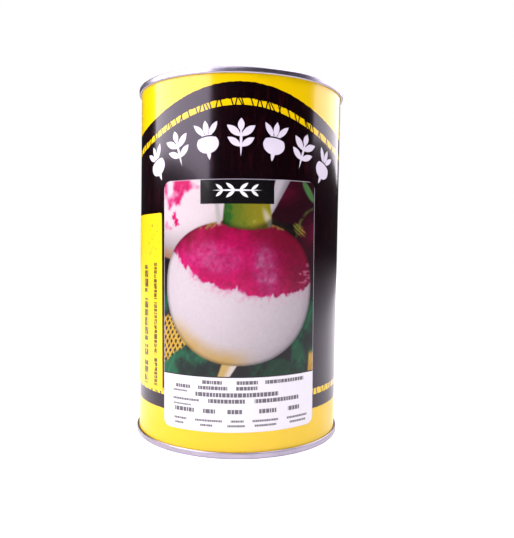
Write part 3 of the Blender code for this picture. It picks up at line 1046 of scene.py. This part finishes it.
def paint_root(x, y, picture):
    """The big root: a flat-topped oval, white below and purple-red above a ragged border."""
    up = y > 67.0
    half_height = np.where(up, 30.4, 36.4)
    bend = np.where(up, 2.3, 2.12)
    across, rise = np.abs(x + 0.2) / 37.2, np.abs(y - 67.0) / half_height
    body = (across**bend + rise**bend) ** (1 / bend)
    facing = np.sqrt(np.clip(1 - body**2, 0, 1))
    grain = layered_noise(x, y, 6.0, 61)
    fine = layered_noise(x, y, 1.4, 67, 2)
    light = 0.80 + 0.16 * facing - 0.055 * x / 37 + 0.03 * (y - 60) / 30 + 0.012 * fine
    white = np.array((236, 224, 229)) * light[..., None]
    low_left = ramp(body, 0.72, 0.98) * ramp(56 - y, 0, 16) * ramp(12 - x, 0, 22)
    white = blend(white, (202, 158, 66), 0.9 * low_left * (0.85 + 0.3 * grain))
    low_right = ramp(body, 0.84, 1.0) * ramp(x, -4, 24)
    white = blend(white, (160, 150, 160), 0.5 * low_right)
    dusk = ramp(x + 0.55 * (y - 78) + 3 * grain, 2, 30)
    purple = blend(even_colour(x, (198, 0, 92)), (126, 0, 50), dusk)
    purple = blend(purple, (218, 14, 112), 0.7 * ramp(-x - 12, 0, 14))
    purple = blend(purple, (148, 0, 66), 0.6 * ramp(-grain, 0.0, 0.7))
    left_glare = ramp(1 - oval(x, y, (-13.0, 81.0), 20.0, 10.0, -14), 0, 0.7)
    right_glare = ramp(1 - oval(x, y, (12.0, 75.0), 8.5, 17.5, 10), 0, 0.8)
    speckle = 0.72 + 0.75 * layered_noise(x, y, 2.4, 73, 3)
    purple = blend(purple, (206, 88, 140), np.clip(0.85 * left_glare * speckle, 0, 0.75))
    purple = blend(purple, (184, 108, 144), np.clip(0.9 * right_glare * speckle, 0, 0.8))
    purple = purple * (1 + 0.16 * layered_noise(x, y, 1.0, 83, 2))[..., None]
    stripes = layered_noise(x * 2.0, y * 0.5, 5.0, 79)
    crown = ramp(y - 84 + 0.010 * x * x, 0, 12)
    purple = blend(purple, (126, 8, 40), np.clip(crown * (0.55 + 0.5 * stripes), 0, 0.9))
    above = y - purple_edge(x, y)
    top = ramp(above, -0.5, 0.9)
    skin = blend(white, purple, top)
    fade = ramp(above, -5.5, 0.5) * ramp(fine + 0.5 * grain, -0.3, 0.6)
    skin = blend(skin, (226, 120, 168), 0.5 * fade * (1 - top))
    skin = blend(skin, (222, 96, 150), 0.45 * (1 - ramp(above, 0.0, 4.0)) * top * ramp(fine, -0.3, 0.6))
    scar = ramp(0.10 - np.abs(layered_noise(x * 0.4, y * 2.2, 5.0, 71) - 0.05), 0, 0.08) * ramp(x, 26, 31)
    skin = blend(skin, (238, 176, 196), 0.5 * scar * ramp(y - 67, 0, 2) * ramp(80 - y, 0, 3))
    skin = skin * (1 - 0.30 * ramp(body, 0.94, 1.0))[..., None]
    left_soil = ramp(1 - oval(x, y, (-12.0, 95.2), 9.0, 2.2, 10), 0, 0.5)
    right_soil = ramp(1 - oval(x, y, (18.0, 94.6), 7.0, 2.0, -14), 0, 0.5)
    skin = blend(skin, (158, 140, 62), 0.85 * (left_soil + right_soil) * ramp(fine, -0.25, 0.4))
    tail = ramp(3.3 - np.abs(x + 5.2 - 0.5 * (y - 30)) + 0.15 * (y - 26), 0, 0.8) * ramp(33 - y, 0, 1)
    tail_light = ramp(x + 5.2 - 0.5 * (y - 30), -1, 2)
    tail_colour = blend(even_colour(x, (208, 176, 104)), (226, 214, 206), tail_light)
    picture = blend(picture, tail_colour, tail)
    return blend(picture, skin, ramp(1 - body, -0.002, 0.014))


def paint_picture(x, y):
    """The whole printed picture as screen colours from 0 to 255, at places in millimetres on the sticker."""
    picture = paint_backdrop(x, y)
    for layer in (paint_pale_root, paint_dark_roots, paint_stalks, paint_root, paint_stub):
        picture = layer(x, y, picture)
    return np.clip(picture, 0, 255)


print("root painter ready")

# %% [markdown]
# The sticker's picture is kept on its mesh as a colour at each point, worked out by the painting
# functions. The material reads it and prints the sharp things over it, in flat millimetres: the dark name
# box with a sprig in place of a name, the pale panel with rows of bars in place of small type, and the
# thin line between them.

# %% Paint the sticker's points
def flat_places(piece, sticker):
    """Each point's place on the flat sticker: unwrapped from the cylinder and turned back by the tilt."""
    points = np.empty(len(piece.data.vertices) * 3)
    piece.data.vertices.foreach_get("co", points)
    points = points.reshape(-1, 3)
    arc = np.arctan2(points[:, 0], -points[:, 1]) * BODY_RADIUS / MM - sticker.middle[0]
    height = points[:, 2] / MM - sticker.middle[1]
    c, s = math.cos(sticker.tilt), math.sin(sticker.tilt)
    return arc * c + height * s, height * c - arc * s + sticker.half[1]


PRINT_STRENGTH = 0.70


def paint_piece(piece, sticker):
    screen = paint_picture(*flat_places(piece, sticker)) / 255
    linear = np.where(screen <= 0.04045, screen / 12.92, ((screen + 0.055) / 1.055) ** 2.4)
    linear *= PRINT_STRENGTH
    colours = np.concatenate([linear, np.ones((len(linear), 1))], axis=1)
    layer = piece.data.attributes.new("paint", "FLOAT_COLOR", "POINT")
    layer.data.foreach_set("color", colours.ravel())


picture_sticker = PICTURE.mesh("picture_sticker", 0.46)
paint_piece(picture_sticker, PICTURE)
print("picture painted on", len(picture_sticker.data.vertices), "points")

# %% [markdown]
# Both stickers share a way to find their own flat place in a material: the unrolled place, moved to the
# sticker's foot and turned back by its tilt, which a Mapping node of the Texture kind does in one step.

# %% Flat place on a sticker
def sticker_place(wire, sticker):
    """x from the sticker's middle line and y up from its foot, both in millimetres."""
    place = wire.node("ShaderNodeTexCoord").outputs["Object"]
    flat = wire.place(UNROLLED, Vector=place)["Flat"]
    mapping = wire.node("ShaderNodeMapping", vector_type="TEXTURE")
    mapping.inputs["Location"].default_value = (*sticker.middle, 0.0)
    mapping.inputs["Rotation"].default_value = (0.0, 0.0, sticker.tilt)
    x, y, _ = wire.split(wire.fill(mapping, Vector=flat))
    return place, x, wire.add(y, sticker.half[1])


def bars_cover(wire, along, across, rows):
    """The greatest cover of all bars. A row is its middle, its half height and its bars' starts and ends."""
    cover = None
    for middle, half_height, spans in rows:
        for start, end in spans:
            bar = wire.place(
                BAR, Along=along, Across=across, Middle_Along=0.5 * (start + end),
                Middle_Across=middle, Half_Length=0.5 * (end - start), Half_Width=half_height,
            )[0]
            cover = bar if cover is None else wire.math("MAXIMUM", cover, bar)
    return cover


def in_box(wire, x, y, middle, half):
    """1 inside a box and 0 outside it, with an edge a tenth of a millimetre wide."""
    covers = []
    for place, centre, reach in ((x, middle[0], half[0]), (y, middle[1], half[1])):
        away = wire.math("ABSOLUTE", wire.less(place, centre))
        covers.append(wire.step(wire.less(reach, away), -0.05, 0.05))
    return wire.times(*covers)


print("sticker helpers ready")

# %% [markdown]
# The panel's rows are listed one by one, the way a printer sets a data panel: names above, one bold row,
# then two rows of figures over two rows of small captions.

# %% Finish: picture paper
PANEL_TOP = 25.6
NAME_BOX = ((-1.1, 110.8), (17.1, 6.1))
PANEL_ROWS = (
    (23.0, 0.85, ((-17.5, -8.0), (-1.5, 8.5), (12.0, 32.5))),
    (20.4, 0.85, ((-31.5, -23.5), (-19.5, -5.5), (-1.5, 8.5))),
    (17.3, 1.0, ((-21.0, 18.5),)),
    (18.2, 0.45, ((-33.0, -25.0),)),
    (14.4, 0.95, ((-14.5, 2.5), (7.0, 29.5))),
    (14.3, 0.55, ((-33.0, -19.0),)),
    (11.9, 0.4, ((-33.0, -23.0),)),
    (9.6, 1.0, ((-32.0, -21.5), (-17.0, -11.0), (-5.5, 1.2), (9.0, 17.5), (23.5, 30.0))),
    (5.2, 0.5, ((-32.5, -25.5), (-21.0, -8.0), (-4.0, 2.0), (6.0, 18.5), (23.0, 35.0))),
    (3.0, 0.5, ((-32.0, -27.0), (-18.5, -12.5), (-5.5, 2.5), (7.0, 17.5), (24.5, 34.0))),
)
SPRIG = (
    (0.0, 0.0, math.pi / 2, 0.42, 11.5, 1.0),
    (3.0, 1.7, -0.9, 0.8, 2.6, 1.0),
    (8.0, 1.4, -0.9, 0.7, 2.2, 1.0),
)


def make_picture_paper():
    material, wire, shader = new_material("picture paper", Coat_Roughness=0.04, Specular_IOR_Level=0.28)
    place, x, y = sticker_place(wire, PICTURE)
    shade = wire.place(INK_LAY, Vector=place, Clouds=0.05, Tooth=0.3)[0]
    paint = wire.node("ShaderNodeAttribute", attribute_name="paint").outputs["Color"]
    paint = wire.mix(1.0, paint, wire.grey(shade), "MULTIPLY")
    box = in_box(wire, x, y, *NAME_BOX)
    from_middle = wire.math("ABSOLUTE", wire.less(x, NAME_BOX[0][0]))
    above = wire.math("ABSOLUTE", wire.less(y, NAME_BOX[0][1]))
    sprig = shapes_cover(wire, from_middle, above, SPRIG)
    colour = wire.mix(box, paint, ink(9, 6, 10))
    colour = wire.mix(wire.times(sprig, box), colour, ink(238, 236, 240))
    panel = wire.step(y, PANEL_TOP + 0.1, PANEL_TOP - 0.1)
    white = wire.mix(wire.less(shade, 0.5), ink(206, 204, 214), ink(250, 249, 252))
    bars = bars_cover(wire, x, y, PANEL_ROWS)
    white = wire.mix(wire.times(bars, 0.86), white, ink(42, 38, 44))
    colour = wire.mix(panel, colour, white)
    rule = wire.step(wire.math("ABSOLUTE", wire.less(y, PANEL_TOP)), 0.32, 0.22)
    colour = wire.mix(rule, colour, ink(16, 12, 18))
    to_edge = wire.less(PICTURE.half[0], wire.math("ABSOLUTE", x))
    top_edge = wire.less(2 * PICTURE.half[1], y)
    margin = wire.step(wire.math("MINIMUM", to_edge, top_edge), 0.45, 0.2)
    colour = wire.mix(wire.times(margin, 0.7), colour, ink(176, 170, 182))
    wire.feed(shader["Base Color"], colour)
    rubs, dulling, height_of_rubs = wire.place(HANDLING, Vector=place, Amount=0.5)
    wire.feed(shader["Roughness"], wire.add(dulling, 0.24))
    wire.feed(shader["Coat Weight"], wire.less(0.1, wire.times(rubs, 0.1)))
    fibre = wire.noise(place, 420.0, 3.0)
    add_bump(wire, shader, 0.12, 0.03 * MM, wire.add(fibre, height_of_rubs))
    return material


settle(picture_sticker, "picture_label", make_picture_paper(), sharp=60.0)

# %% [markdown]
# The date sticker is plain yellow paper, overprinted upright with two lines and a faint rubber stamp. The
# lines are bars again. The stamp is a patch of speckle, because a stamp that was running dry leaves
# broken marks.

# %% Finish: date paper
DATE_ROWS = (
    (2.9, 2.3, ((1.5, 13.0), (15.0, 21.0), (23.0, 44.0), (47.0, 60.5))),
    (12.7, 1.3, ((2.0, 15.5), (17.0, 42.5), (44.0, 62.0))),
)


def make_date_paper():
    material, wire, shader = new_material("date paper", IOR=1.46)
    place, x, y = sticker_place(wire, DATE)
    shade = wire.place(INK_LAY, Vector=place, Clouds=0.08, Tooth=0.12)[0]
    yellow = wire.mix(wire.less(shade, 0.5), ink(226, 186, 0), ink(248, 214, 0))
    bars = bars_cover(wire, y, x, DATE_ROWS)
    thin = wire.step(wire.noise(wire.stretch(place, (900.0, 900.0, 260.0)), 1.0, 2.0), 0.3, 0.5)
    colour = wire.mix(wire.times(bars, wire.times(thin, 0.94)), yellow, ink(40, 31, 6))
    stamp = in_box(wire, x, y, (10.5, 74.0), (5.0, 8.5))
    speckle = wire.times(wire.step(wire.noise(place, 620.0, 2.0), 0.60, 0.68), stamp)
    colour = wire.mix(wire.times(speckle, 0.7), colour, ink(96, 84, 40))
    wire.feed(shader["Base Color"], colour)
    rubs, dulling, height_of_rubs = wire.place(HANDLING, Vector=place, Amount=0.4)
    wire.feed(shader["Roughness"], wire.add(dulling, 0.34))
    wire.feed(shader["Coat Weight"], wire.times(wire.less(1.0, rubs), 0.12))
    fibre = wire.noise(place, 520.0, 4.0)
    add_bump(wire, shader, 0.2, 0.03 * MM, wire.add(fibre, height_of_rubs))
    return material


settle(DATE.mesh("date_sticker", 0.8), "date_label", make_date_paper(), sharp=60.0)

# %% [markdown]
# Inside, the can is a little under half full of seed. Seeds this small read as a pebbled surface, so the
# heap is one turned body whose skin is pushed out over each seed. A seed's bump is round: highest at the
# nearest of a set of scattered centres and lowest halfway between two.

# %% Seed
SEED_SIZE = 1.9 * MM


def seed_bumps(points):
    """A dome at each scattered centre: the square root of one less the distance to the nearest centre."""
    cells = points / SEED_SIZE
    picks = np.unique(np.round(cells).astype(int), axis=0)
    centres = picks + np.random.default_rng(9).uniform(-0.3, 0.3, picks.shape)
    tree = KDTree(len(centres))
    for number, centre in enumerate(centres):
        tree.insert(centre, number)
    tree.balance()
    gaps = np.array([tree.find(cell)[2] for cell in cells])
    return np.sqrt(np.clip(1 - gaps / 0.9, 0, 1))


def make_seed():
    """The frame's own heap outline, with close rows and columns, moved in by the height of its bumps."""
    low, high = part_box("seed_fill")
    wall = high.x - 0.6 * MM
    shoulder = high.z - 3.6 * MM
    crown_radius = np.linspace(0, wall, 70)
    crown = np.stack([crown_radius, shoulder + 3.0 * MM * (1 - (crown_radius / wall) ** 2)], axis=1)
    side_heights = np.linspace(shoulder, low.z + 1.8 * MM, 90)[1:]
    side = np.stack([np.full(side_heights.shape, wall), side_heights], axis=1)
    foot_radius = np.linspace(wall - 4.2 * MM, 0, 30)
    foot = np.stack([foot_radius, np.full(foot_radius.shape, low.z + 0.6 * MM)], axis=1)
    points = turned_points(np.vstack([crown, side, foot]), even_angles(300))
    middle = np.array([0, 0, 0.5 * (low.z + high.z)])
    out = points - middle
    out /= np.maximum(np.linalg.norm(out, axis=-1, keepdims=True), 1e-9)
    bumps = seed_bumps(points.reshape(-1, 3)).reshape(points.shape[:2])
    heap = grid_object("seed_heap", points + out * (0.5 * MM * bumps)[..., None], close_columns=True)
    weld_points(heap, 1e-5)
    return heap


def make_seed_finish():
    material, wire, shader = new_material("seed", Specular_IOR_Level=0.35)
    place = wire.node("ShaderNodeTexCoord").outputs["Object"]
    grains = wire.node("ShaderNodeTexVoronoi")
    wire.fill(grains, Vector=place, Scale=1 / SEED_SIZE)
    pick = wire.split(grains.outputs["Color"])[0]
    colour = wire.mix(pick, ink(66, 38, 26), ink(122, 74, 46))
    # Painted shade: the colour darkens towards the edge of each seed's cell, in the hollows where the seeds
    # meet.
    colour = wire.mix(wire.step(grains.outputs["Distance"], 0.35, 0.7), colour, ink(24, 14, 10))
    wire.feed(shader["Base Color"], colour)
    wire.feed(shader["Roughness"], wire.add(wire.times(pick, 0.2), 0.45))
    add_bump(wire, shader, 0.5, 0.3 * MM, grains.outputs["Distance"], invert=True)
    return material


settle(make_seed(), "seed_fill", make_seed_finish(), sharp=80.0)

# %% [markdown]
# The can stands on a plain pale floor of white paper. Real paper looks white because light reaches it from
# everywhere, and a few lamps can't do that without washing out the can. So the floor also glows, for the
# camera alone and more with distance, and keeps the soft shadow at the can's foot.

# %% Floor
def add_floor():
    bpy.ops.mesh.primitive_grid_add(x_subdivisions=8, y_subdivisions=8, size=6.0)
    floor = bpy.context.object
    floor.name = "floor"
    material, wire, shader = new_material("floor", Specular_IOR_Level=0.2)
    place = wire.node("ShaderNodeTexCoord").outputs["Object"]
    clouds = wire.noise(place, 3.0, 2.0)
    wire.feed(shader["Base Color"], wire.mix(clouds, ink(246, 246, 248), ink(252, 252, 253)))
    wire.feed(shader["Roughness"], wire.add(wire.times(clouds, 0.1), 0.7))
    out = wire.node("ShaderNodeVectorMath", operation="LENGTH")
    wire.fill(out, Vector=place)
    glow = wire.add(wire.times(wire.step(out.outputs["Value"], 0.06, 0.5), 0.7), 0.3)
    seen = wire.node("ShaderNodeLightPath").outputs["Is Camera Ray"]
    shader["Emission Color"].default_value = (1.0, 1.0, 1.0, 1.0)
    wire.feed(shader["Emission Strength"], wire.times(glow, seen))
    floor.data.materials.append(material)


add_floor()
print("floor laid")

# %% [markdown]
# Two tall soft boxes light the can from the sides: the left one stands forward and the right one back,
# so each shows as a hard-edged band in the varnish while the front stays clear and dark. A softer light
# above evens out the floor, one more brightens it on the right, and a weak one over the camera lifts the
# front.

# %% Lights
def add_soft_box(name, place, aim, size, power):
    """A rectangular light at a place, turned so that its face looks at the aim."""
    data = bpy.data.lights.new(name, "AREA")
    data.shape = "RECTANGLE"
    data.size, data.size_y = size
    data.energy = power
    data.color = (1.0, 0.95, 1.01)
    light = bpy.data.objects.new(name, data)
    away = (Matrix.Translation(place).translation - Matrix.Translation(aim).translation).normalized()
    light.matrix_world = Matrix.Translation(place) @ away.to_track_quat("Z", "Y").to_matrix().to_4x4()
    bpy.context.collection.objects.link(light)


add_soft_box("left box", (-0.60, -0.37, 0.77), (0.0, -0.37, 0.77), (1.10, 1.10), 19.0)
add_soft_box("right box", (0.60, 0.47, 0.80), (0.0, 0.47, 0.80), (1.06, 1.10), 12.5)
add_soft_box("top light", (0.0, 0.35, 1.4), (0.0, 0.0, 0.0), (1.4, 1.2), 13.5)
add_soft_box("floor light", (0.55, -0.35, 1.1), (0.32, -0.22, 0.0), (0.6, 0.6), 5.0)
add_soft_box("front light", (-0.35, -1.2, 1.1), (0.0, 0.0, 0.09), (0.7, 0.5), 4.0)


def set_surroundings():
    """White where the camera looks past the floor, and a dim grey for everything that lights or reflects."""
    world = bpy.data.worlds.new("studio")
    world.use_nodes = True
    wire = Wiring(world.node_tree)
    white = wire.node("ShaderNodeBackground")
    dim = world.node_tree.nodes["Background"]
    white.inputs["Color"].default_value = (1.0, 1.0, 1.0, 1.0)
    dim.inputs["Color"].default_value = (0.025, 0.023, 0.028, 1.0)
    mix = wire.node("ShaderNodeMixShader")
    wire.feed(mix.inputs[0], wire.node("ShaderNodeLightPath").outputs["Is Camera Ray"])
    wire.feed(mix.inputs[1], dim.outputs[0])
    wire.feed(mix.inputs[2], white.outputs[0])
    wire.feed(world.node_tree.nodes["World Output"].inputs["Surface"], mix.outputs[0])
    bpy.context.scene.world = world
    bpy.context.scene.view_settings.view_transform = "Standard"


set_surroundings()
print("lights set")
